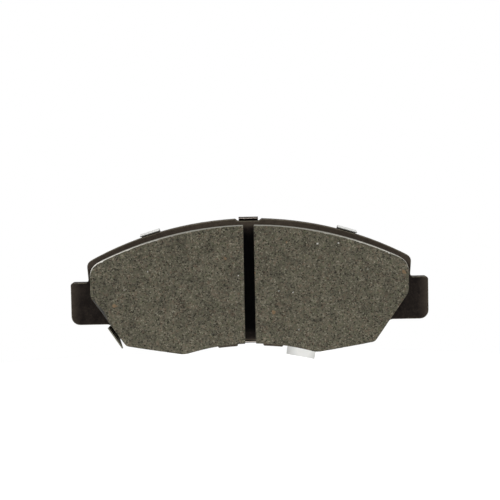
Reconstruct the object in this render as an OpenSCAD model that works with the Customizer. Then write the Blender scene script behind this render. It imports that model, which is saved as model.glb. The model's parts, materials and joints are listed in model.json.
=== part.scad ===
// Disc brake pad with two damping shims and a spring-steel wear indicator.
// X runs from ear to ear, +Y points away from the disc and +Z points away from the disc's axis.
// The origin lies on the back of the outer shim, on the centre line, at mid height of the pad.

/* [Backing plate] */
// Length from ear end to ear end
plate_length = 136.6; // [130:0.1:150]
// Thickness of the backing plate
plate_t = 5.5; // [4:0.5:7]
// Radius of the plate's top edge, which runs along the disc's rim
plate_top_r = 130; // [120:1:150]
// Height of the middle of that top edge
plate_top_z = 25; // [24.6:0.1:26]
// Height of the plate's two feet, where they meet the recess between them
foot_z = -23.7; // [-24.2:0.1:-23.2]
// Distance from the centre line to the outer end of a foot
foot_x = 12.4; // [10:0.1:13]
// Distance from the centre line to the far end of the step beside a foot
step_x = 26.8; // [26.5:0.1:28]
// How far that step lies above the lower edge of the friction material
step_lift = 0.8; // [0.5:0.1:1.2]
// How far the plate shows outside the friction material along its lower edges
plate_margin = 1.2; // [0.8:0.1:1.6]
// Distance from the centre line to the plate's side, just above an ear
neck_x = 61.35; // [60:0.05:63]
// Distance from the centre line to the plate's shoulder
shoulder_x = 61.95; // [61:0.05:63.5]
// Height of an ear's top
ear_top_z = 1.7; // [0:0.1:4]
// Height of an ear's bottom
ear_bottom_z = -14.5; // [-15.5:0.1:-13]
// Width of the notch in the top edge, at its floor
top_notch_w = 8.2; // [7.9:0.1:9]
// Height of the floor of that notch
top_notch_z = 24.2; // [23.9:0.1:24.4]
// Width of the recess in the bottom edge, at its floor
bottom_notch_w = 9.2; // [8.6:0.1:10]
// Height of the floor of that recess
bottom_notch_z = -21.6; // [-21.9:0.1:-21.2]
// Diameter of the four holes that key the friction material to the plate
key_hole_d = 9; // [6:0.5:10]

/* [Friction material] */
// Thickness of the friction material
friction_t = 9; // [2:0.5:11]
// Thickness of the underlayer between friction material and plate
underlayer_t = 1.5; // [1:0.25:2.5]
// Width of the slot between the two blocks
slot_w = 4; // [3:0.1:6]
// Distance from the centre line to the blocks' outer sides
friction_side_x = 59.7; // [59:0.1:60.5]
// Radius of the blocks' top edge
friction_top_r = 131.4; // [120:0.1:150]
// Height of the middle of that top edge
friction_top_z = 22.8; // [22.5:0.1:23.5]
// Radius of the blocks' bottom arch
friction_arch_r = 82.9; // [80:0.1:110]
// Height of the middle of the bottom arch
friction_arch_z = -21.5; // [-22.2:0.1:-21.2]
// Distance from the centre line to the lobe where the arch ends
lobe_x = 24.8; // [22:0.1:28]
// Rise of the lower edge from the lobe to the lower corner, in degrees
lower_slope = 9.3; // [6:0.1:12]
// Lean of the lower diagonal sides from the vertical, in degrees
diagonal_angle = 35; // [32:0.5:38]
// Distance from the origin to the line of a diagonal side, measured square to it
diagonal_reach = 50.7; // [50.5:0.1:51.5]

/* [Shims] */
// Thickness of the steel sheet of the outer shim
outer_shim_t = 0.5; // [0.3:0.1:0.6]
// Thickness of the steel core of the inner shim
shim_core_t = 0.35; // [0.3:0.05:0.5]
// Thickness of the rubber coat on each face of that core
shim_coat_t = 0.2; // [0.1:0.05:0.2]
// Length of both shims along X
shim_length = 100; // [90:1:104]
// How far the shims' top edge lies inside the plate's edge
shim_inset = 1.3; // [0.9:0.1:2]
// How far the shims' lower edge lies above the lower edge of the friction material
shim_lift = 1.6; // [1.3:0.1:2.5]
// Width of each of the outer shim's two top tabs
side_tab_w = 7.7; // [6:0.1:10]
// Angle about the disc's axis at which those two tabs stand, in degrees
side_tab_angle = 16.8; // [14:0.1:18]
// Air gap between those tabs and the plate's top edge, at their bend
side_tab_gap = 0.75; // [0.6:0.05:1]
// How far those tabs are bent, in degrees: past 90 they close on the plate
side_tab_turn = 95; // [88:1:96]
// Width of the outer shim's flared bottom tab
flared_tab_w = 11.2; // [8:0.1:12]
// How far the flared tab leans back from the shim's plane, in degrees
flared_tab_angle = 12; // [5:1:20]
// Width of the inner shim's top tab
top_tab_w = 7.4; // [6:0.1:7.5]
// Width of the inner shim's bottom tab
bottom_tab_w = 8; // [6:0.1:8.2]

/* [Wear indicator] */
// Thickness of the spring steel
indicator_t = 0.6; // [0.5:0.05:0.65]
// Width of the strip at its tip
indicator_w = 9.6; // [7:0.1:10]
// How much narrower the strip is at its bend than at its tip, all on its lower side
indicator_taper = 3; // [1:0.1:3.5]
// How far the strip's tip stands in front of the plate
indicator_proud = 2.5; // [1.5:0.1:4]
// Air gap between the strip and the plate's lower diagonal side
indicator_gap = 1.1; // [0.7:0.05:1.1]
// Diameter of the rivet that holds the strip
rivet_d = 4; // [3:0.5:5]
// Diameter of the rivet's head
rivet_head_d = 6.4; // [5.5:0.1:8]

/* [Hidden] */
$fn = 64;

// Places along Y, from the back of the pad to its face
inner_shim_t = shim_core_t + 2 * shim_coat_t;
inner_shim_back = -outer_shim_t;
plate_back = inner_shim_back - inner_shim_t;
plate_front = plate_back - plate_t;
friction_back = plate_front - underlayer_t;

// Roundings of the outline's corners
arc_step = 2;
corner_steps = 6;
shoulder_r = 2.8;
ear_top_r = 1.1;
ear_bottom_r = 3.3;
neck_r = 1.2;
ear_root_r = 3;
lobe_r = 8;
lower_corner_r = 2.8;
block_top_r = 5.5;
block_side_r = 5;
slot_edge_r = 0.3;
notch_corner_r = 0.35;
foot_corner_r = 0.6;
foot_r = 112;
shim_corner_r = 3;
shim_corner_x = 34;
notch_flare = 1;

// Where the keying holes stand: distance from the centre line and height
key_holes = [[21, 3], [43, -1]];

// Bends of the sheet-metal strips: open ones, and the tight ones of the inner shim
bend_r = 0.5;
tight_bend_r = 0.1;
bend_steps = 6;

// The shims' tabs: how far they stop short of the plate's front, how far they run into
// their sheet, and how they stand off the plate's edges
tab_back_off = 0.3;
tab_leg = 3;
top_tab_gap = 0.6;
bottom_tab_gap = 0.15;
flared_tab_x = 20.4;
flared_tab_slope = 11.5;
flared_tab_gap = 0.85;
flared_tab_length = 5.7;

// Over-length of cutters, so that they pass right through
over = 1;

// Grease slots in the outer shim
grease_slot_x = 22;
grease_slot_z = 1;
grease_slot_w = 3.2;
grease_slot_length = 15;

// The wear indicator's place along its diagonal side, and its rivet
indicator_shift = 13.4;
indicator_tilt = 1.2;
rivet_inset = 5.3;
rivet_clearance = 0.05;
rivet_head_h = 0.65;
indicator_clear = 0.8;

// Height at distance x of an arch of radius r whose middle stands at height top
function arch(x, r, top) = top - r + sqrt(r * r - x * x);

// Height of the lower edge from lobe to corner, and distance to the diagonal side
function lower_edge(x, margin) =
    arch(lobe_x, friction_arch_r, friction_arch_z)
    + (x - lobe_x) * tan(lower_slope) - margin / cos(lower_slope);
function diagonal_x(z, margin) =
    (diagonal_reach + margin + z * sin(diagonal_angle)) / cos(diagonal_angle);

// The corner where the lower edge meets the diagonal side
function lower_corner_x(margin) =
    diagonal_x(lower_edge(0, margin), margin)
    / (1 - tan(diagonal_angle) * tan(lower_slope));

function lower_corner(margin, r) =
    let (x = lower_corner_x(margin))
    [x, lower_edge(x, margin), r];

// Height at which the diagonal side reaches the distance x
function diagonal_z(x, margin) =
    (x * cos(diagonal_angle) - diagonal_reach - margin) / sin(diagonal_angle);

// Points of an arch from one distance to another
function arch_points(from, to, r, top) =
    let (a = asin(from / r), b = asin(to / r), n = max(1, ceil(abs(b - a) / arc_step)))
    [for (i = [1 : n - 1]) let (x = r * sin(a + (b - a) * i / n)) [x, arch(x, r, top), 0]];

// One corner as an arc that touches both of its edges
function unit(v) = v / norm(v);
function corner(before, at, after, r) =
    let (a = unit(before - at), b = unit(after - at), half = acos(a * b) / 2)
    let (centre = at + unit(a + b) * r / sin(half), turn = 180 - 2 * half)
    let (from = at + a * r / tan(half) - centre, to = at + b * r / tan(half) - centre)
    [for (i = [0 : corner_steps]) let (t = i / corner_steps)
        centre + (sin((1 - t) * turn) * from + sin(t * turn) * to) / sin(turn)];

// A closed outline from corners given as [x, z, radius]
function flat_point(p) = [p[0], p[1]];
function outline(corners) =
    let (n = len(corners))
    [for (i = [0 : n - 1]) each
        corners[i][2] == 0
        ? [flat_point(corners[i])]
        : corner(flat_point(corners[(i + n - 1) % n]), flat_point(corners[i]),
                 flat_point(corners[(i + 1) % n]), corners[i][2])];

function flipped(list) = [for (i = [len(list) - 1 : -1 : 0]) list[i]];
function mirrored(corners) = [for (p = flipped(corners)) [-p[0], p[1], p[2]]];

// Heights of the feet and of the step beside them
function foot(x) = arch(x, foot_r, foot_z);
function step(x) = arch(x, friction_arch_r, friction_arch_z + step_lift);

// The right half of the plate's outline, from the bottom recess round to the top notch
plate_half = concat(
    [[bottom_notch_w / 2, bottom_notch_z, notch_corner_r],
     [bottom_notch_w / 2 + notch_corner_r, foot(bottom_notch_w / 2), foot_corner_r]],
    arch_points(bottom_notch_w / 2, foot_x, foot_r, foot_z),
    [[foot_x, foot(foot_x), foot_corner_r],
     [foot_x + notch_corner_r, step(foot_x), notch_corner_r]],
    arch_points(foot_x, step_x, friction_arch_r, friction_arch_z + step_lift),
    [[step_x, step(step_x), notch_corner_r],
     [step_x + notch_corner_r, lower_edge(step_x, plate_margin), foot_corner_r],
     lower_corner(plate_margin, lower_corner_r),
     [diagonal_x(ear_bottom_z, plate_margin), ear_bottom_z, ear_root_r],
     [plate_length / 2, ear_bottom_z, ear_bottom_r],
     [plate_length / 2, ear_top_z, ear_top_r],
     [neck_x, ear_top_z, neck_r],
     [shoulder_x, arch(shoulder_x, plate_top_r, plate_top_z), shoulder_r]],
    arch_points(shoulder_x, top_notch_w / 2 + notch_flare, plate_top_r, plate_top_z),
    [[top_notch_w / 2 + notch_flare,
      arch(top_notch_w / 2, plate_top_r, plate_top_z), notch_corner_r],
     [top_notch_w / 2, top_notch_z, 0]]);

// The outline of the right friction block
block_corners = concat(
    [[slot_w / 2, arch(slot_w / 2, friction_arch_r, friction_arch_z), slot_edge_r]],
    arch_points(slot_w, lobe_x, friction_arch_r, friction_arch_z),
    [[lobe_x, arch(lobe_x, friction_arch_r, friction_arch_z), lobe_r],
     lower_corner(0, lower_corner_r),
     [friction_side_x, diagonal_z(friction_side_x, 0), block_side_r],
     [friction_side_x, arch(friction_side_x, friction_top_r, friction_top_z), block_top_r]],
    arch_points(friction_side_x, slot_w, friction_top_r, friction_top_z),
    [[slot_w / 2, arch(slot_w / 2, friction_top_r, friction_top_z), slot_edge_r]]);

// The right half of the outline that both shims share
shim_top_r = plate_top_r - shim_inset;
shim_top_z = plate_top_z - shim_inset;
shim_arch_z = friction_arch_z + shim_lift;
shim_diagonal = plate_margin - rivet_inset - indicator_w / 2 - indicator_clear;
shim_half = concat(
    [[0, shim_arch_z, 0]],
    arch_points(0, lobe_x, friction_arch_r, shim_arch_z),
    [[lobe_x, arch(lobe_x, friction_arch_r, shim_arch_z), lobe_r],
     [shim_corner_x, lower_edge(shim_corner_x, -shim_lift), shim_corner_r],
     [shim_length / 2, diagonal_z(shim_length / 2, shim_diagonal), shim_corner_r],
     [shim_length / 2, arch(shim_length / 2, shim_top_r, shim_top_z), shim_corner_r]],
    arch_points(shim_length / 2, 0, shim_top_r, shim_top_z),
    [[0, shim_top_z, 0]]);
shim_outline = outline(concat(shim_half, [for (p = mirrored(shim_half)) if (p[0] < 0) p]));

// A flat layer that stands in the X-Z plane, with its back at y = back
module layer(back, depth) {
    translate([0, back, 0])
        rotate([90, 0, 0])
            linear_extrude(height = depth)
                children();
}

// A round bar or hole along Y
module bar(back, depth, d) {
    translate([0, back, 0])
        rotate([90, 0, 0])
            cylinder(h = depth, d = d);
}

// Both mirrored copies of something on the right-hand side
module both_sides() {
    children();
    mirror([1, 0, 0])
        children();
}

// One side of a bent strip: a leg, a bend of the given turn and a straight end
function strip_side(rho, leg, turn, reach) = concat(
    [[rho, -leg]],
    [for (i = [0 : bend_steps]) let (a = turn * i / bend_steps) rho * [cos(a), sin(a)]],
    [rho * [cos(turn), sin(turn)] + reach * [-sin(turn), cos(turn)]]);

// A bent strip whose leg stands along Z and whose end turns towards -Y. The strip lies
// between the depths inner and outer, counted from the face towards the plate at y = face.
// The inside of the straight end lies at height z if the turn is 90 degrees.
module bent_strip(w, face, z, inner, outer, r, leg, turn, reach) {
    translate([0, face - r, z - r])
        rotate([90, 0, 90])
            linear_extrude(height = w, center = true)
                polygon(concat(strip_side(r + inner, leg, turn, reach),
                               flipped(strip_side(r + outer, leg, turn, reach))));
}

module backing_plate() {
    color([0.13, 0.12, 0.11])
        difference() {
            layer(plate_back, plate_t)
                polygon(outline(concat(plate_half, mirrored(plate_half))));
            both_sides()
                for (p = key_holes)
                    translate([p[0], 0, p[1]])
                        bar(plate_back + over, plate_t + 2 * over, key_hole_d);
            at_indicator()
                bar(plate_back + over, plate_t + 2 * over, rivet_d);
        }
}

// One friction block's outline, on the right-hand side
module block(back, depth) {
    layer(back, depth)
        polygon(outline(block_corners));
}

// The underlayer, with the plugs that fill the plate's keying holes
module underlayer() {
    block(plate_front, underlayer_t);
    for (p = key_holes)
        translate([p[0], 0, p[1]])
            bar(plate_back, plate_t + underlayer_t / 2, key_hole_d);
}

module underlayer_right() {
    color([0.27, 0.26, 0.23])
        underlayer();
}

module underlayer_left() {
    color([0.27, 0.26, 0.23])
        mirror([1, 0, 0])
            underlayer();
}

module friction_block_right() {
    color([0.36, 0.35, 0.3])
        block(friction_back, friction_t);
}

module friction_block_left() {
    color([0.36, 0.35, 0.3])
        mirror([1, 0, 0])
            block(friction_back, friction_t);
}

// One layer of the inner shim, between two depths from its face towards the plate
module inner_shim_layer(inner, outer) {
    reach = plate_t - tab_back_off - tight_bend_r;
    layer(plate_back + outer, outer - inner)
        polygon(shim_outline);
    bent_strip(top_tab_w, plate_back, top_notch_z + top_tab_gap,
               inner, outer, tight_bend_r, tab_leg, 90, reach);
    rotate([0, 180, 0])
        bent_strip(bottom_tab_w, plate_back, -bottom_notch_z + bottom_tab_gap,
                   inner, outer, tight_bend_r, tab_leg, 90, reach);
}

module inner_shim_front_coat() {
    color([0.1, 0.1, 0.1])
        inner_shim_layer(0, shim_coat_t);
}

module inner_shim_core() {
    color([0.62, 0.62, 0.6])
        inner_shim_layer(shim_coat_t, shim_coat_t + shim_core_t);
}

module inner_shim_back_coat() {
    color([0.1, 0.1, 0.1])
        inner_shim_layer(shim_coat_t + shim_core_t, inner_shim_t);
}

// An upright slot with round ends, cut through the outer shim
module grease_slot() {
    run = (grease_slot_length - grease_slot_w) / 2;
    translate([grease_slot_x, 0, grease_slot_z]) {
        for (side = [-1, 1])
            translate([0, 0, side * run])
                bar(over, outer_shim_t + 2 * over, grease_slot_w);
        translate([-grease_slot_w / 2, -outer_shim_t - over, -run])
            cube([grease_slot_w, outer_shim_t + 2 * over, 2 * run]);
    }
}

module outer_shim() {
    reach = inner_shim_t + plate_t - tab_back_off - bend_r;
    color([0.78, 0.78, 0.76]) {
        difference() {
            layer(0, outer_shim_t)
                polygon(shim_outline);
            both_sides()
                grease_slot();
        }
        both_sides()
            translate([0, 0, plate_top_z - plate_top_r])
                rotate([0, side_tab_angle, 0])
                    bent_strip(side_tab_w, inner_shim_back, plate_top_r + side_tab_gap, 0,
                               outer_shim_t, bend_r, tab_leg, side_tab_turn, reach);
        translate([flared_tab_x, 0, step(flared_tab_x)])
            rotate([0, 180 + flared_tab_slope, 0])
                mirror([0, 1, 0])
                    bent_strip(flared_tab_w, 0, flared_tab_gap, 0, outer_shim_t,
                               bend_r, tab_leg, flared_tab_angle, flared_tab_length);
    }
}

// Puts its children at the rivet's place. There +Z points square out of the lower left
// diagonal side and the plate's edge lies at z = rivet_inset.
module at_indicator() {
    rotate([0, -90 - diagonal_angle, 0])
        translate([indicator_shift, 0, diagonal_reach + plate_margin - rivet_inset])
            children();
}

// What is cut off the lower side of the wear indicator, as seen along +Z
module indicator_waste() {
    side = -indicator_w / 2;
    polygon([[side - over, over], [side - over, plate_front - indicator_proud],
             [side, plate_front - indicator_proud],
             [side + indicator_taper, plate_back - bend_r], [side + indicator_taper, over]]);
}

module wear_indicator() {
    rise = rivet_inset + indicator_gap;
    color([0.5, 0.49, 0.45])
        at_indicator()
            rotate([0, indicator_tilt, 0])
                difference() {
                    union() {
                        difference() {
                            bent_strip(indicator_w, plate_back, rise, 0, indicator_t, bend_r,
                                       rise - bend_r, 90, plate_t + indicator_proud - bend_r);
                            translate([0, 0, -over])
                                linear_extrude(height = rise + indicator_t + 2 * over)
                                    indicator_waste();
                        }
                        bar(plate_back + indicator_t, indicator_t, indicator_w);
                    }
                    bar(plate_back + over, 2 * over, rivet_d);
                }
}

module wear_indicator_rivet() {
    shank_d = rivet_d - 2 * rivet_clearance;
    back = plate_back + indicator_t;
    color([0.45, 0.44, 0.42])
        at_indicator() {
            bar(back, plate_t + indicator_t, shank_d);
            bar(back + rivet_head_h, rivet_head_h, rivet_head_d);
        }
}

backing_plate();
underlayer_left();
underlayer_right();
friction_block_left();
friction_block_right();
inner_shim_core();
inner_shim_front_coat();
inner_shim_back_coat();
outer_shim();
wear_indicator();
wear_indicator_rivet();
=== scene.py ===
"""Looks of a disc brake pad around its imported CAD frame. Lengths inside are in millimetres."""
import itertools
import json
import math

import bmesh
import bpy
import numpy as np
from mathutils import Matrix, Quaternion, Vector
from mathutils.geometry import delaunay_2d_cdt

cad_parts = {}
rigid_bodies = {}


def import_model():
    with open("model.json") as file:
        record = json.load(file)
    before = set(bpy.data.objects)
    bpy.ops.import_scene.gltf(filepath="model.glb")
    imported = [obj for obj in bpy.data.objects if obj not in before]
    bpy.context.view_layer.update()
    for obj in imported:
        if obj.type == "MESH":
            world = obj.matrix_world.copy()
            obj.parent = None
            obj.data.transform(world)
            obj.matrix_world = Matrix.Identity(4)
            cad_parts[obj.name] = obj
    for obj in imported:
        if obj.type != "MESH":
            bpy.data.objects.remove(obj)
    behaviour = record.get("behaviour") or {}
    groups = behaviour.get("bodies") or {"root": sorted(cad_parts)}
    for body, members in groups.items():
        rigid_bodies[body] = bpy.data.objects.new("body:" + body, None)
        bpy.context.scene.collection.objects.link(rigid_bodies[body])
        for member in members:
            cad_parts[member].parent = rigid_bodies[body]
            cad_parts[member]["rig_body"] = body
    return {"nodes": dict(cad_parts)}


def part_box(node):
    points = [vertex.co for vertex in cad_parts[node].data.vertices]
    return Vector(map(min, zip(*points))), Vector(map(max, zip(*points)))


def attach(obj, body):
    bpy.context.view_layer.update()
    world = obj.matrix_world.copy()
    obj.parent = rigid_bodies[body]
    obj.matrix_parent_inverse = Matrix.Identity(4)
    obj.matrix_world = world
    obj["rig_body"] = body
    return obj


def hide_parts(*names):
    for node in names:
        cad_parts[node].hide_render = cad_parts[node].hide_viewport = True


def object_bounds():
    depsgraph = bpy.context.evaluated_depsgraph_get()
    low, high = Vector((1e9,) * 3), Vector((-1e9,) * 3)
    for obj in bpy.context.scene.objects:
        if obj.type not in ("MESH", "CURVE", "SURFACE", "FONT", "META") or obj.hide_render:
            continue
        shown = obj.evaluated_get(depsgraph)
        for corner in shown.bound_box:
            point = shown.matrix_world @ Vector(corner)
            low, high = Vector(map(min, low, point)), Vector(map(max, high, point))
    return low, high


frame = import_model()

cad_box = [list(corner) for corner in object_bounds()]

MM = 0.001
SEED = 7


# ---------------------------------------------------------------- noise

def lattice(cell, seed):
    """A fixed pseudo-random number from 0 to 1 for each whole-numbered cell."""
    mixed = cell @ np.array([73856093, 19349663, 83492791]) + seed * 2654435761
    mixed = (mixed ^ (mixed >> 13)) * 1274126177 & 0xFFFFFFFF
    return (mixed ^ (mixed >> 16)) % 65536 / 65535


def noise(points, size, seed):
    """Smooth noise from 0 to 1 at points (x, y, z), with features of the given size."""
    p = np.asarray(points, float) / size
    cell = np.floor(p).astype(np.int64)
    f = p - cell
    f = f * f * (3 - 2 * f)
    total = np.zeros(len(p))
    for corner in itertools.product((0, 1), repeat=3):
        c = np.array(corner)
        total += np.prod(np.where(c, f, 1 - f), axis=1) * lattice(cell + c, seed)
    return total


def above(value, threshold):
    """How far noise stands above a threshold, from 0 to 1."""
    return np.clip((value - threshold) / (1 - threshold), 0, 1)


# ---------------------------------------------------------------- outlines from the CAD

def cap_loops(node, side):
    """Outlines of a CAD node's flat face on its -Y or +Y side, outer first, X and Z in mm.
    The outer one runs anticlockwise as seen from the disc, and holes run clockwise."""
    mesh = frame["nodes"][node].data
    co = np.array([v.co for v in mesh.vertices]) / MM
    level = co[:, 1].min() if side < 0 else co[:, 1].max()
    key = {}
    weld = [key.setdefault(tuple(np.round(c, 3)), len(key)) for c in co]
    place = np.array(list(key))[:, [0, 2]]
    edges = set()
    for poly in mesh.polygons:
        if all(abs(co[v, 1] - level) < 1e-3 for v in poly.vertices):
            ids = [weld[v] for v in poly.vertices]
            ids = ids if side < 0 else ids[::-1]
            edges |= {(a, b) for a, b in zip(ids, ids[1:] + ids[:1])}
    follow = {a: b for a, b in edges if (b, a) not in edges}
    loops = []
    while follow:
        start, at = next(iter(sorted(follow.items())))
        ids = [start]
        del follow[start]
        while at != start:
            ids.append(at)
            at = follow.pop(at)
        loops.append(place[ids])
    return sorted(loops, key=lambda loop: -abs(area(loop)))


def area(loop):
    x, z = loop.T
    return 0.5 * np.sum(x * np.roll(z, -1) - z * np.roll(x, -1))


def resampled(loop, step):
    """The loop with its edges cut to at most the given step."""
    points = []
    for a, b in zip(loop, np.roll(loop, -1, 0)):
        n = max(1, math.ceil(np.linalg.norm(b - a) / step))
        points += [a + (b - a) * i / n for i in range(n)]
    return np.array(points)


SHARPEST_CORNER = 0.4


def inward(loop):
    """At each point, the way into the material, as long as it takes to move both edges by 1.
    SHARPEST_CORNER keeps that length in bounds at a very sharp corner."""
    ahead = np.roll(loop, -1, 0) - loop
    ahead /= np.linalg.norm(ahead, axis=1)[:, None]
    left = np.stack([-ahead[:, 1], ahead[:, 0]], 1)
    behind = np.roll(left, 1, 0)
    return (left + behind) / np.maximum(1 + (left * behind).sum(1), SHARPEST_CORNER)[:, None]


def safe_inset(loop, ways, inset):
    """The inset, made smaller wherever it would fold the loop over itself."""
    passes, least_kept, shrink = 60, 0.25, 0.85
    inset = inset.copy()
    ahead = np.roll(loop, -1, 0) - loop
    for _ in range(passes):
        moved = loop + ways * inset[:, None]
        kept = ((np.roll(moved, -1, 0) - moved) * ahead).sum(1) / (ahead * ahead).sum(1)
        folded = kept < least_kept
        if not folded.any():
            break
        inset[folded | np.roll(folded, 1)] *= shrink
    return inset


CHUNK = 4000    # points handled at a time, to keep the arrays small


def inside(points, loops):
    """Which points lie in the material that the loops bound."""
    a = np.vstack(loops)
    b = np.vstack([np.roll(loop, -1, 0) for loop in loops])
    found = []
    for part in np.array_split(points, max(1, len(points) // CHUNK)):
        px, pz = part[:, :1], part[:, 1:]
        spans = (a[:, 1] > pz) != (b[:, 1] > pz)
        with np.errstate(divide="ignore", invalid="ignore"):
            cross = a[:, 0] + (pz - a[:, 1]) * (b[:, 0] - a[:, 0]) / (b[:, 1] - a[:, 1])
        found.append((spans & (px < cross)).sum(1) % 2 == 1)
    return np.concatenate(found)


def scatter(loops, spacing, rng):
    """Jittered points inside the loops, about one per square of the given spacing."""
    jitter, rim_clearance = 0.33, 0.6
    rim = np.vstack(loops)
    low, high = rim.min(0), rim.max(0)
    xs, zs = (np.arange(lo, hi, spacing) for lo, hi in zip(low, high))
    grid = np.stack(np.meshgrid(xs, zs, indexing="ij"), -1).reshape(-1, 2)
    grid += rng.uniform(-jitter, jitter, grid.shape) * spacing
    grid = grid[inside(grid, loops)]
    clear = [
        ((part[:, None] - rim[None]) ** 2).sum(2).min(1) > (rim_clearance * spacing) ** 2
        for part in np.array_split(grid, max(1, 2 * len(grid) // CHUNK))
    ]
    return grid[np.concatenate(clear)]


def fill(loops, inner):
    """Triangles over the region that the loops bound, through the inner points as well.
    Returns index triples into the loops' points followed by the inner points."""
    points = np.vstack(loops + [inner]) if len(inner) else np.vstack(loops)
    edges, first = [], 0
    for loop in loops:
        n = len(loop)
        edges += [(first + i, first + (i + 1) % n) for i in range(n)]
        first += n
    got = delaunay_2d_cdt([Vector(p) for p in points], edges, [], 1, 1e-6)
    back = [origin[0] if origin else None for origin in got[3]]
    tris = [[back[v] for v in face] for face in got[2]]
    tris = np.array([t for t in tris if None not in t])
    tris = tris[inside(points[tris].mean(1), loops)]
    p, q, r = (points[tris[:, i]] for i in range(3))
    turn = (q[:, 0] - p[:, 0]) * (r[:, 1] - p[:, 1]) - (q[:, 1] - p[:, 1]) * (r[:, 0] - p[:, 0])
    tris[turn < 0] = tris[turn < 0][:, ::-1]
    return tris


# ---------------------------------------------------------------- solids

def slab(loops, front, back, front_r, back_r, rows=4, step=0.5, rough=None, relief=None,
         spacing=None, arcs=3):
    """A solid between two depths, with rounded rims.
    front_r and back_r are the rims' radii, as numbers or functions of points (x, z).
    rough(points) is how far a wall lies inside the outline, and relief(points) how far the
    face towards the disc lies below its plane. Returns vertices, faces and rim, which is
    1 on the rounded rims and 0 on the flat faces and walls."""
    loops = [resampled(loop, step) for loop in loops]
    ways = np.vstack([inward(loop) for loop in loops])
    outline = np.vstack(loops)
    count = len(outline)

    def radii(r):
        wanted = r(outline) if callable(r) else np.full(count, float(r))
        split = np.cumsum([len(loop) for loop in loops])[:-1]
        parts = zip(loops, np.split(ways, split), np.split(wanted, split))
        return np.concatenate([safe_inset(*part) for part in parts])

    near, far = radii(front_r), radii(back_r)
    rings = []
    for k in range(arcs + 1):
        turn = math.pi / 2 * k / arcs
        rings.append((near * (1 - math.sin(turn)), front + near * (1 - math.cos(turn)),
                      math.cos(turn), float(0 < k < arcs)))
    for k in range(1, rows):
        depth = (front + near) + (back - far - front - near) * k / rows
        rings.append((None, depth, 0.0, 0.0))
    for k in range(arcs, -1, -1):
        turn = math.pi / 2 * k / arcs
        rings.append((far * (1 - math.sin(turn)), back - far * (1 - math.cos(turn)),
                      0.0, float(0 < k < arcs)))
    verts, rim = [], []
    for inset, depth, sink, mark in rings:
        depth = depth + np.zeros(count)
        if inset is None:
            at = np.stack([outline[:, 0], depth, outline[:, 1]], 1)
            inset = rough(at) if rough else np.zeros(count)
        place = outline + ways * inset[:, None]
        if relief is not None and sink:
            depth = depth + sink * relief(place)
        verts.append(np.stack([place[:, 0], depth, place[:, 1]], 1))
        rim.append(np.full(count, mark))
    starts = np.cumsum([0] + [len(loop) for loop in loops])
    quads = []
    for first, end in zip(starts, starts[1:]):
        j = np.arange(first, end)
        after = np.roll(j, -1)
        for i in range(len(rings) - 1):
            a, b = i * count, (i + 1) * count
            quads.append(np.stack([a + j, b + j, b + after, a + after], 1))
    quads = np.vstack(quads).tolist()

    rng = np.random.default_rng(SEED)
    last = (len(rings) - 1) * count
    total = len(rings) * count
    tris = []
    for base, level, facing in ((0, front, -1), (last, back, 1)):
        cap = np.split(verts[base // count][:, [0, 2]], starts[1:-1])
        inner = np.zeros((0, 2))
        if spacing and facing < 0:
            inner = scatter(cap, spacing, rng)
        found = fill(cap, inner)
        ids = np.concatenate([base + np.arange(count), total + np.arange(len(inner))])
        found = ids[found]
        tris.append(found if facing < 0 else found[:, ::-1])
        if len(inner):
            depth = level + (relief(inner) if relief is not None else np.zeros(len(inner)))
            verts.append(np.stack([inner[:, 0], depth, inner[:, 1]], 1))
            rim.append(np.zeros(len(inner)))
            total += len(inner)
    return np.vstack(verts), quads + np.vstack(tris).tolist(), np.concatenate(rim)


def lathe(profile, centre, steps=48):
    """A solid of revolution about Y through centre (x, z), from (radius, depth) pairs that
    start and end on the axis."""
    verts, faces = [], []
    for r, y in profile[1:-1]:
        for k in range(steps):
            turn = 2 * math.pi * k / steps
            verts.append((centre[0] + r * math.cos(turn), y, centre[1] + r * math.sin(turn)))
    rows = len(profile) - 2
    for i in range(rows - 1):
        for k in range(steps):
            a, b = i * steps + k, i * steps + (k + 1) % steps
            faces.append([a, b, b + steps, a + steps])
    for (r, y), row in ((profile[0], 0), (profile[-1], rows - 1)):
        tip = len(verts)
        verts.append((centre[0], y, centre[1]))
        for k in range(steps):
            a, b = row * steps + k, row * steps + (k + 1) % steps
            faces.append([tip, b, a] if row == 0 else [tip, a, b])
    return np.array(verts, float), faces


def joined(*parts):
    """Several (vertices, faces, rim) solids as one."""
    verts, faces, rims, first = [], [], [], 0
    for v, f, rim in parts:
        verts.append(v)
        faces += [[first + i for i in face] for face in f]
        rims.append(rim)
        first += len(v)
    return np.vstack(verts), faces, np.concatenate(rims)


BROAD, FACING = 2.5, 0.99999    # side of a broad face, and how squarely a flat one faces Y


def finish_piece(mesh, node, material, sharp=40):
    """Makes the mesh a shown piece that stands for a CAD node. Its broad flat faces stay flat
    shaded, so that the rounded rims beside them don't tint them."""
    imported = mesh.attributes.get("custom_normal")
    if imported:
        mesh.attributes.remove(imported)
    mesh.set_sharp_from_angle(angle=math.radians(sharp))
    smooth = [abs(poly.normal.y) < FACING and poly.area < (BROAD * MM) ** 2
              for poly in mesh.polygons]
    mesh.polygons.foreach_set("use_smooth", smooth)
    mesh.materials.clear()
    mesh.materials.append(material)
    piece = bpy.data.objects.new(node + "_look", mesh)
    bpy.context.scene.collection.objects.link(piece)
    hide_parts(node)
    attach(piece, frame["nodes"][node]["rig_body"])
    return piece


def solid_piece(solid, node, material, slot, sharp=40, **marks):
    """A piece from millimetre vertices and faces, with float attributes on its points."""
    verts, faces, rim = solid
    mesh = bpy.data.meshes.new(node + "_look")
    mesh.from_pydata((verts * MM).tolist(), [], faces)
    for name, values in {"rim": rim, **marks}.items():
        layer = mesh.attributes.new(name, "FLOAT", "POINT")
        layer.data.foreach_set("value", np.asarray(values, np.float32))
    return finish_piece(mesh, node, material, sharp)


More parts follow.
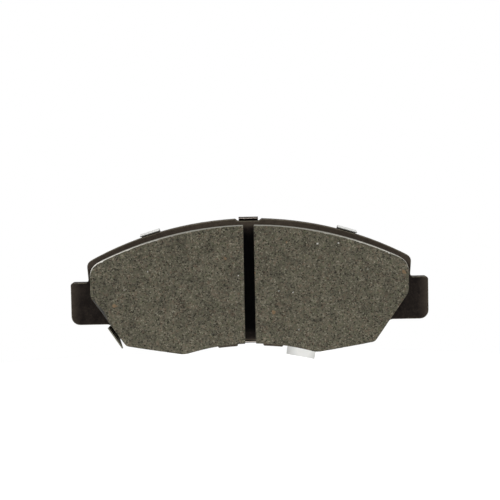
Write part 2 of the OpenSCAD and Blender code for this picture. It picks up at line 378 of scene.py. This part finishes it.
def sheet_piece(node, material, tip_r=0.0, rim_r=0.0):
    """A piece from a CAD node of bent sheet: its free corners are rounded to tip_r and its
    cut edges to rim_r."""
    corner_angle, rim_angle, thickness_margin = 80, 60, 1.3
    bm = bmesh.new()
    bm.from_mesh(frame["nodes"][node].data)
    bmesh.ops.remove_doubles(bm, verts=bm.verts, dist=1e-6)
    bmesh.ops.dissolve_limit(bm, angle_limit=math.radians(1), verts=bm.verts, edges=bm.edges)

    def edges_over(degrees, longest=1e9):
        return [e for e in bm.edges if len(e.link_faces) == 2
                and e.calc_face_angle_signed() > math.radians(degrees)
                and e.calc_length() < longest * MM]

    if tip_r:
        thick = min(e.calc_length() for e in edges_over(corner_angle)) / MM
        corners = edges_over(corner_angle, thick * thickness_margin)
        bmesh.ops.bevel(bm, geom=corners, offset=tip_r * MM, offset_type="OFFSET",
                        segments=5, profile=0.5, affect="EDGES")
    if rim_r:
        bmesh.ops.bevel(bm, geom=edges_over(rim_angle), offset=rim_r * MM,
                        offset_type="OFFSET", segments=2, profile=0.5, affect="EDGES")
    mesh = bpy.data.meshes.new(node + "_look")
    bm.to_mesh(mesh)
    bm.free()
    return finish_piece(mesh, node, material)


# ---------------------------------------------------------------- materials

def srgb(r, g, b):
    """A colour from 0-255 display values."""
    def linear(c):
        c /= 255
        return c / 12.92 if c <= 0.04045 else ((c + 0.055) / 1.055) ** 2.4
    return (linear(r), linear(g), linear(b), 1.0)


class Shader:
    """A material's node tree, with one short call per node."""

    def __init__(self, name, **settings):
        self.material = bpy.data.materials.new(name)
        self.material.use_nodes = True
        self.tree = self.material.node_tree
        self.surface = self.tree.nodes["Principled BSDF"]
        for socket, value in settings.items():
            self.surface.inputs[socket.replace("_", " ")].default_value = value
        place = self.add("ShaderNodeTexCoord").outputs["Object"]
        self.mm = self.add("ShaderNodeMapping", {"Vector": place, "Scale": [1 / MM] * 3}).outputs[0]

    def add(self, kind, inputs=None, **props):
        node = self.tree.nodes.new(kind)
        for name, value in props.items():
            setattr(node, name, value)
        for key, value in (inputs or {}).items():
            if isinstance(value, bpy.types.NodeSocket):
                self.tree.links.new(value, node.inputs[key])
            else:
                node.inputs[key].default_value = value
        return node

    def stretched(self, x, y, z):
        """Coordinates in millimetres, scaled along each axis."""
        return self.add("ShaderNodeMapping", {"Vector": self.mm, "Scale": (x, y, z)}).outputs[0]

    def ragged(self, size, reach):
        """Coordinates in millimetres, shifted about so that grains get ragged outlines."""
        there = self.add("ShaderNodeTexNoise", {
            "Vector": self.mm, "Scale": 1 / size, "Detail": 3.0, "Roughness": 0.7})
        return self.add("ShaderNodeVectorMath", {
            0: there.outputs["Color"], 1: (reach, reach, reach), 2: self.mm},
            operation="MULTIPLY_ADD").outputs[0]

    def noise(self, size, detail=3.0, roughness=0.6, place=None):
        """Smooth noise around 0.5, with features of the given size in millimetres."""
        return self.add("ShaderNodeTexNoise", {
            "Vector": place or self.mm, "Scale": 1 / size, "Detail": detail,
            "Roughness": roughness}).outputs["Fac"]

    def cells(self, size, place):
        """A random value from 0 to 1 for each grain of the given size in millimetres."""
        found = self.add("ShaderNodeTexVoronoi", {"Vector": place, "Scale": 1 / size})
        split = self.add("ShaderNodeSeparateColor", {"Color": found.outputs["Color"]})
        return split.outputs[0]

    def scale(self, value, low, high, to_low=0.0, to_high=1.0):
        """The value mapped from one range to another, and kept within it."""
        return self.add("ShaderNodeMapRange", {
            "Value": value, "From Min": low, "From Max": high,
            "To Min": to_low, "To Max": to_high}).outputs[0]

    def maths(self, operation, a, b=0.0):
        return self.add("ShaderNodeMath", {0: a, 1: b}, operation=operation).outputs[0]

    def blend(self, factor, a, b, mode="MIX"):
        node = self.add("ShaderNodeMix", data_type="RGBA", blend_type=mode)
        for socket, value in ((0, factor), (6, a), (7, b)):
            if isinstance(value, bpy.types.NodeSocket):
                self.tree.links.new(value, node.inputs[socket])
            else:
                node.inputs[socket].default_value = value
        return node.outputs[2]

    def mark(self, name):
        """A float that the mesh carries on its points."""
        return self.add("ShaderNodeAttribute", attribute_name=name).outputs["Fac"]

    def bump(self, height, depth, strength=1.0):
        """Bumps of the given depth in millimetres, on top of any that are there."""
        inputs = {"Height": height, "Distance": depth * MM, "Strength": strength}
        there = self.surface.inputs["Normal"].links
        if there:
            inputs["Normal"] = there[0].from_socket
        self.set(Normal=self.add("ShaderNodeBump", inputs).outputs[0])

    def set(self, **links):
        for socket, value in links.items():
            self.tree.links.new(value, self.surface.inputs[socket.replace("_", " ")])


def friction_look():
    s = Shader("moulded_friction", Metallic=0.0, IOR=1.45, Specular_IOR_Level=0.3)
    body = s.noise(0.8, 5, 0.78)
    colour = s.blend(s.scale(body, 0.34, 0.66), srgb(58, 56, 46), srgb(113, 109, 93))
    patches = s.noise(9, 3, 0.55)
    colour = s.blend(s.scale(patches, 0.35, 0.65, 0, 0.3), colour, srgb(89, 85, 71))
    hue = s.cells(0.6, s.ragged(0.5, 0.9))
    colour = s.blend(s.scale(hue, 0.72, 1.0, 0, 0.45), colour, srgb(111, 90, 75))
    colour = s.blend(s.scale(hue, 0.28, 0.0, 0, 0.45), colour, srgb(82, 86, 60))
    grain = s.cells(0.42, s.ragged(0.3, 0.55))
    colour = s.blend(s.scale(grain, 0.74, 0.92, 0, 0.85), colour, srgb(26, 24, 20))
    light = s.cells(0.4, s.ragged(0.22, 0.6))
    colour = s.blend(s.scale(light, 0.84, 1.0, 0, 0.6), colour, srgb(156, 149, 130))
    clouds = s.blend(s.scale(s.noise(5), 0.3, 0.7), (0.78, 0.78, 0.78, 1), (1.22, 1.22, 1.22, 1))
    colour = s.blend(1.0, colour, clouds, "MULTIPLY")
    speck = s.cells(0.45, s.stretched(0.91, 0.91, 0.91))
    colour = s.blend(s.scale(speck, 0.9997, 0.9998), colour, srgb(196, 195, 188))
    rust = s.cells(1.2, s.stretched(0.83, 0.83, 0.83))
    colour = s.blend(s.scale(rust, 0.9985, 0.9990, 0, 0.5), colour, srgb(150, 118, 86))
    scratch = s.noise(0.5, 2, 0.5, s.stretched(0.05, 1.0, 1.0))
    colour = s.blend(s.scale(scratch, 0.66, 0.74, 0, 0.25), colour, srgb(118, 113, 100))
    skin = s.maths("MULTIPLY", s.mark("skin"), s.scale(s.noise(1.2, 4, 0.7), 0.3, 0.6, 0.3, 1.0))
    colour = s.blend(skin, colour, srgb(112, 111, 105))
    chipped = s.maths("MULTIPLY", s.mark("chip"), s.scale(s.noise(0.7), 0.25, 0.5))
    colour = s.blend(chipped, colour, srgb(62, 61, 59))
    # painted highlight: the rounded upper rim goes near-white
    colour = s.blend(s.mark("bright"), colour, srgb(232, 229, 221))
    s.set(Base_Color=colour, Roughness=s.scale(body, 0.3, 0.7, 0.95, 0.72))
    s.bump(s.noise(0.35, 4, 0.75), 0.06, 0.8)
    s.bump(grain, 0.03, 0.5)
    return s.material


def underlayer_look():
    s = Shader("moulded_underlayer", Metallic=0.0, IOR=1.45)
    body = s.noise(0.9, 5, 0.7)
    colour = s.blend(s.scale(body, 0.3, 0.7), srgb(44, 42, 37), srgb(84, 80, 70))
    fibre = s.noise(0.5, 3, 0.6, s.stretched(0.35, 1.0, 1.6))
    colour = s.blend(s.scale(fibre, 0.62, 0.75, 0, 0.6), colour, srgb(120, 108, 84))
    s.set(Base_Color=colour, Roughness=s.scale(body, 0.3, 0.7, 0.95, 0.8))
    s.bump(s.noise(0.4, 4, 0.75), 0.08, 0.8)
    return s.material


def paint_look():
    s = Shader("plate_black_paint", Metallic=0.0, IOR=1.45, Specular_IOR_Level=0.1)
    tone = s.noise(4, 5, 0.7)
    colour = s.blend(s.scale(tone, 0.35, 0.65), srgb(23, 18, 16), srgb(40, 34, 30))
    specks = s.noise(0.7, 4, 0.75)
    colour = s.blend(s.scale(specks, 0.5, 0.75, 0, 0.6), colour, srgb(60, 52, 45))
    dust = s.maths("MULTIPLY", s.mark("dust"), s.scale(s.noise(1.5, 5, 0.7), 0.25, 0.6, 0.5, 1.0))
    colour = s.blend(dust, colour, srgb(86, 77, 67))
    worn = s.maths("MULTIPLY", s.mark("rim"), s.scale(s.noise(1.6, 5, 0.7), 0.38, 0.6))
    colour = s.blend(worn, colour, srgb(96, 91, 76))
    # painted shade: the plate's face in the slot goes near-black
    colour = s.blend(s.mark("shade"), colour, srgb(5, 4, 4))
    rough = s.scale(s.noise(2.5, 4, 0.6), 0.3, 0.7, 0.45, 0.7)
    s.set(Base_Color=colour, Roughness=rough)
    s.bump(s.noise(0.6, 4, 0.65), 0.05, 0.6)
    return s.material


def metal_look(name, dark, light, low_rough, high_rough, grain=(0.05, 1.0, 1.0), tint=None,
               bright=None):
    """Rolled sheet or turned steel: brushed grain, faint scratches and dull patches.
    The last argument, when given, is the middle (x, z) in millimetres of a painted highlight: a
    near-white round spot."""
    spot_edge, spot_core = 6.2, 2.6
    s = Shader(name, Metallic=1.0)
    brush = s.noise(0.25, 4, 0.7, s.stretched(*grain))
    patches = s.noise(7, 4, 0.6)
    colour = s.blend(s.scale(brush, 0.3, 0.7), dark, light)
    if tint:
        colour = s.blend(s.scale(patches, 0.5, 0.72, 0, 0.6), colour, tint)
    if bright:
        x, z = bright
        away = s.add("ShaderNodeVectorMath", {
            0: s.stretched(1.0, 0.0, 1.0), 1: (x, 0, z)}, operation="DISTANCE").outputs["Value"]
        # painted highlight: a near-white spot around that middle
        colour = s.blend(s.scale(away, spot_edge, spot_core), colour, srgb(228, 228, 225))
    rough = s.maths("ADD", s.scale(brush, 0.3, 0.7, low_rough, high_rough),
                    s.scale(patches, 0.45, 0.75, 0, 0.12))
    s.set(Base_Color=colour, Roughness=rough)
    s.bump(brush, 0.012, 0.35)
    return s.material


def rubber_look():
    s = Shader("shim_rubber_coat", Metallic=0.0, IOR=1.45, Specular_IOR_Level=0.03)
    body = s.noise(1.4, 4, 0.65)
    colour = s.blend(s.scale(body, 0.3, 0.7), srgb(14, 11, 10), srgb(34, 25, 21))
    s.set(Base_Color=colour, Roughness=s.scale(body, 0.3, 0.7, 0.6, 0.85))
    s.bump(s.noise(0.3, 3, 0.6), 0.02, 0.5)
    return s.material


friction = friction_look()
underlayer = underlayer_look()
paint = paint_look()
rubber = rubber_look()
core_steel = metal_look("shim_core_cut_steel", srgb(212, 200, 190), srgb(240, 230, 220),
                        0.5, 0.62)
# the spot given below is a painted highlight on the shim's bottom tab
stainless = metal_look("shim_rolled_stainless", srgb(176, 176, 173), srgb(204, 204, 201),
                       0.34, 0.5, bright=(20.6, -26.5))
spring = metal_look("indicator_spring_steel", srgb(124, 121, 108), srgb(170, 167, 152),
                    0.48, 0.64, tint=srgb(104, 98, 84))
rivet_metal = metal_look("rivet_plated_steel", srgb(140, 138, 132), srgb(190, 188, 182),
                         0.3, 0.5, grain=(1.0, 1.0, 1.0), tint=srgb(118, 104, 80))


# ---------------------------------------------------------------- the pieces

def on_face(points):
    """Points (x, z) as (x, 0, z)."""
    return np.stack([points[:, 0], np.zeros(len(points)), points[:, 1]], 1)


def fade(value, start, end):
    """0 before start and 1 past end, with an even ramp between them."""
    return np.clip((value - start) / (end - start), 0, 1)


WORN_CORNER, WORN_LENGTH = (-57.8, -9.2), 5.0


def face_relief(points):
    """Depth of the friction face below its plane: fine grit, shallow waves and open pits."""
    at = on_face(points)
    grit = 0.05 * noise(at, 0.55, 1) + 0.04 * noise(at, 1.3, 2)
    pits = 0.16 * above(noise(at, 0.9, 3), 0.74) + 0.22 * above(noise(at, 1.9, 4), 0.84)
    return grit + pits


def rim_rounding_and_highlight(points):
    """How far the face's upper rim is rounded off and carries a painted highlight: most at the left
    shoulder.
    """
    x, z = points[:, 0], points[:, 1]
    bright_from, shoulder, duller_from = 14, 58, 46
    share = np.where(x > 0, 1 - 0.6 * fade(x, duller_from, shoulder), 1)
    return share * fade(np.abs(x), bright_from, shoulder) * fade(z, 4, 8)


def edge_chips(points):
    """Radius of the friction face's rim: mostly crisp, with small chips."""
    at = on_face(points)
    small = 0.45 * above(noise(at, 1.1, 11), 0.72)
    large = 0.5 * above(noise(at, 4.5, 12), 0.78)
    away = np.linalg.norm(points - WORN_CORNER, axis=1) / WORN_LENGTH
    worn = 0.7 * np.exp(-away ** 4) * (0.5 + noise(at, 1.5, 14))
    return 0.12 + 0.1 * noise(at, 0.6, 13) + small + large + worn + 0.16 * rim_rounding_and_highlight(points)


def wall_grain(at):
    """How far a moulded wall lies inside its outline."""
    return 0.05 * noise(at, 0.5, 21) + 0.06 * noise(at, 2.2, 22)


def depths(node):
    low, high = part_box(node)
    return low.y / MM, high.y / MM


for side in ("left", "right"):
    node = "friction_block_" + side
    front, back = depths(node)
    block_loops = cap_loops(node, -1)
    solid = slab(block_loops, front, back, edge_chips, 0.05, rows=14, step=0.35,
                 rough=wall_grain, relief=face_relief, spacing=0.3)
    chip = solid[2] * above(np.minimum(edge_chips(solid[0][:, [0, 2]]), 1), 0.3)
    skin = np.clip((solid[0][:, 1] - front - 0.35) / 0.3, 0, 1)
    # where the painted highlight lies on the rounded upper rim
    bright = solid[2] * rim_rounding_and_highlight(solid[0][:, [0, 2]])
    solid_piece(solid, node, friction, "friction_material", sharp=70, chip=chip, skin=skin,
                bright=bright)

    node = "underlayer_" + side
    front = depths(node)[0]
    plate_front, plate_back = depths("backing_plate")
    layer = slab(cap_loops(node, -1), front, plate_front, 0.12, 0.05, rows=5, step=0.4,
                 rough=lambda at: 0.05 + 0.12 * noise(at, 1.6, 31) + 0.06 * noise(at, 0.4, 32))
    plugs = [slab([loop + inward(loop) * 0.03], plate_front - 0.2, plate_back - 0.18,
                  0.02, 0.1, rows=2, step=0.6)
             for loop in cap_loops(node, 1)]
    solid_piece(joined(layer, *plugs), node, underlayer, "underlayer")


def punched_wall(at):
    """A blanked edge: smooth where the punch sheared it, torn and set back beyond."""
    front, back = depths("backing_plate")
    share = (at[:, 1] - front) / (back - front)
    torn = np.clip((share - 0.45 - 0.15 * noise(at * [1, 0, 1], 5, 41)) / 0.1, 0, 1)
    return torn * (0.05 + 0.1 * noise(at, 0.5, 42) + 0.06 * noise(at, 1.5, 43))


def plate_marks(at, front):
    """Where dust lies on the plate's face, and where painted shade darkens that face inside the
    slot.
    """
    x, y, z = np.abs(at[:, 0]), at[:, 1], at[:, 2]
    arch = np.hypot(x, z + ARCH_DROP) - ARCH_RADIUS
    feet = fade(x, 16, 13) * fade(z, -20.5, -22)
    ears = fade(x, 64.5, 68) * 0.5
    top = fade(arch, -3.6, -2.2) * (1 - 0.3 * fade(x, 8, 40))
    dust = np.maximum.reduce([top, feet, ears]) * fade(y, front + 1, front)
    wavy = 1.2 * noise(at * [1, 0, 1], 1.5, 51)
    # painted shade down the slot's middle, fading out towards its ends
    shade = fade(x, 3.2, 2.2) * fade(z, 21.4 - wavy, 19.2 - wavy) * fade(z, -18.5, -17)
    return dust, shade


ARCH_RADIUS, ARCH_DROP = 130, 105
front, back = depths("backing_plate")
solid = slab(cap_loops("backing_plate", -1), front, back, 0.38, 0.15, rows=16, step=0.5,
             rough=punched_wall, spacing=0.9, arcs=4)
dust, shade = plate_marks(solid[0], front)
solid_piece(solid, "backing_plate", paint, "plate_paint", dust=dust, shade=shade)

sheet_piece("inner_shim_front_coat", rubber)
sheet_piece("inner_shim_core", core_steel, rim_r=0.14)
sheet_piece("inner_shim_back_coat", rubber)
sheet_piece("outer_shim", stainless, tip_r=0.5, rim_r=0.18)
sheet_piece("wear_indicator", spring, tip_r=0.3, rim_r=0.15)

low, high = (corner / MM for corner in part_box("wear_indicator_rivet"))
head_r = (high.x - low.x) / 2
shank_r, head_h, dome = 1.95, 0.65, 0.3
profile = [(0, low.y), (shank_r - 0.3, low.y), (shank_r, low.y + 0.25),
           (shank_r, high.y - head_h), (head_r - 0.05, high.y - head_h),
           (head_r, high.y - head_h + 0.08)]
for k in range(7):
    turn = math.pi / 2 * k / 7
    profile.append((head_r * math.cos(turn), high.y - dome + dome * math.sin(turn)))
profile.append((0, high.y))
verts, faces = lathe(profile, ((low.x + high.x) / 2, (low.z + high.z) / 2))
solid_piece((verts, faces, np.zeros(len(verts))), "wear_indicator_rivet", rivet_metal,
            "rivet_steel", sharp=50)


# ---------------------------------------------------------------- floor, light and camera

scene = bpy.context.scene
scene.view_settings.view_transform = "Standard"

floor_r, floor_drop = 0.36, 0.045
bm = bmesh.new()
bmesh.ops.create_circle(bm, cap_ends=True, segments=96, radius=floor_r)
mesh = bpy.data.meshes.new("floor")
bm.to_mesh(mesh)
bm.free()
floor = bpy.data.objects.new("floor", mesh)
floor.location.z = cad_box[0][2] - floor_drop
scene.collection.objects.link(floor)
s = Shader("floor_pale", Roughness=0.9)
s.set(Base_Color=s.blend(s.noise(400, 2), srgb(236, 236, 236), srgb(242, 242, 242)))
mesh.materials.append(s.material)


def studio_world(seen, front, behind):
    """Even white to the camera; as light, dark in front of the pad and bright behind it."""
    world = bpy.data.worlds.new("studio")
    scene.world = world
    world.use_nodes = True
    tree = world.node_tree
    way = tree.nodes.new("ShaderNodeSeparateXYZ")
    across = tree.nodes.new("ShaderNodeMapRange")
    pick = tree.nodes.new("ShaderNodeMapRange")
    tree.links.new(tree.nodes.new("ShaderNodeTexCoord").outputs["Generated"], way.inputs[0])
    tree.links.new(way.outputs["Y"], across.inputs["Value"])
    across.inputs["From Min"].default_value = -0.3
    across.inputs["From Max"].default_value = 0.7
    across.inputs["To Min"].default_value = front
    across.inputs["To Max"].default_value = behind
    camera_ray = tree.nodes.new("ShaderNodeLightPath").outputs["Is Camera Ray"]
    tree.links.new(camera_ray, pick.inputs["Value"])
    tree.links.new(across.outputs[0], pick.inputs["To Min"])
    pick.inputs["To Max"].default_value = seen
    tree.links.new(pick.outputs[0], tree.nodes["Background"].inputs["Strength"])
    tree.nodes["Background"].inputs["Color"].default_value = (1, 1, 1, 1)


def softbox(name, place, target, width, height, power):
    data = bpy.data.lights.new(name, "AREA")
    data.shape = "RECTANGLE"
    data.size, data.size_y, data.energy = width, height, power
    lamp = bpy.data.objects.new(name, data)
    lamp.location = place
    lamp.rotation_mode = "QUATERNION"
    lamp.rotation_quaternion = (Vector(target) - Vector(place)).to_track_quat("-Z", "Y")
    lamp.visible_camera = False
    scene.collection.objects.link(lamp)


studio_world(seen=1.0, front=0.12, behind=0.5)
softbox("overhead", (0, 0, 0.6), (0, 0, 0), 2.0, 2.0, 22)

focus = Vector((0, depths("backing_plate")[0] * MM, 0))
distance = 0.55
elevation, roll, pitch, yaw = (math.radians(a) for a in (5, 1.1, 1.357, 0.02))
back_way = Vector((0, -math.cos(elevation), math.sin(elevation)))
data = bpy.data.cameras.new("camera")
data.lens, data.sensor_width = 103.7, 36
data.clip_start = 0.01
camera = bpy.data.objects.new("camera", data)
camera.location = focus + back_way * distance
camera.rotation_mode = "QUATERNION"
camera.rotation_quaternion = ((-back_way).to_track_quat("-Z", "Y")
                              @ Quaternion((0, 0, 1), -roll) @ Quaternion((1, 0, 0), pitch)
                              @ Quaternion((0, 1, 0), -yaw))
scene.collection.objects.link(camera)
scene.camera = camera
